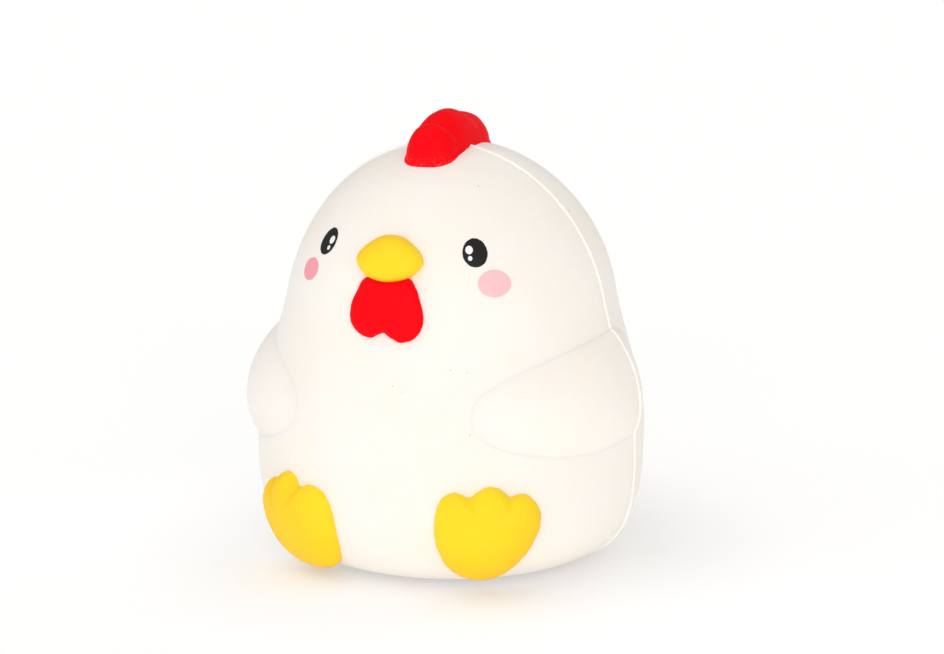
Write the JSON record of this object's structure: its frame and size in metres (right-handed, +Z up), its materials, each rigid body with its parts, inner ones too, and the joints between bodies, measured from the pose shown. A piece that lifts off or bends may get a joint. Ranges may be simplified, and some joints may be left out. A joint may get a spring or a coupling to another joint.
{
  "type": "foam squeeze toy",
  "caption": "Round sitting chicken squeeze toy of slow-rise foam, with a red comb and wattle, yellow beak and feet, small wings, and a body that squeezes front to back.",
  "frame": {"origin": "on the floor, at the centre of the flat base", "axes": "+Z up, the chicken faces -Y, and its left side is +X"},
  "size_m": [0.1091, 0.0938, 0.1151],
  "materials": {
    "open_cell_foam": "open-cell polyurethane foam",
    "cream_skin": "smooth satin foam skin",
    "red_paint": "flexible satin paint on foam",
    "yellow_paint": "flexible satin paint on foam",
    "black_print": "printed ink, semi-gloss",
    "white_print": "printed ink, semi-gloss",
    "pink_print": "printed ink, matt"
  },
  "bodies": {
    "rear": {"foam_core": "open_cell_foam", "skin_rear": "cream_skin", "seam_flash": "cream_skin", "comb_rear": "red_paint", "wing_root_left": "cream_skin", "wing_root_right": "cream_skin"},
    "front": {"skin_front": "cream_skin", "comb_front": "red_paint", "beak": "yellow_paint", "wattle": "red_paint", "eye_left": "black_print", "eye_right": "black_print", "eye_glints_left": "white_print", "eye_glints_right": "white_print", "cheek_left": "pink_print", "cheek_right": "pink_print", "wing_left": "cream_skin", "wing_right": "cream_skin", "foot_left": "yellow_paint", "foot_right": "yellow_paint"}
  },
  "joints": [
    {"name": "squeeze", "type": "slide", "parent": "rear", "child": "front", "axis": [0, 1, 0], "range_m": [0, 0.036], "stiffness_N_per_m": 250, "deforming": ["foam_core", "skin_rear", "seam_flash", "comb_rear", "wing_root_left", "wing_root_right"]}
  ]
}
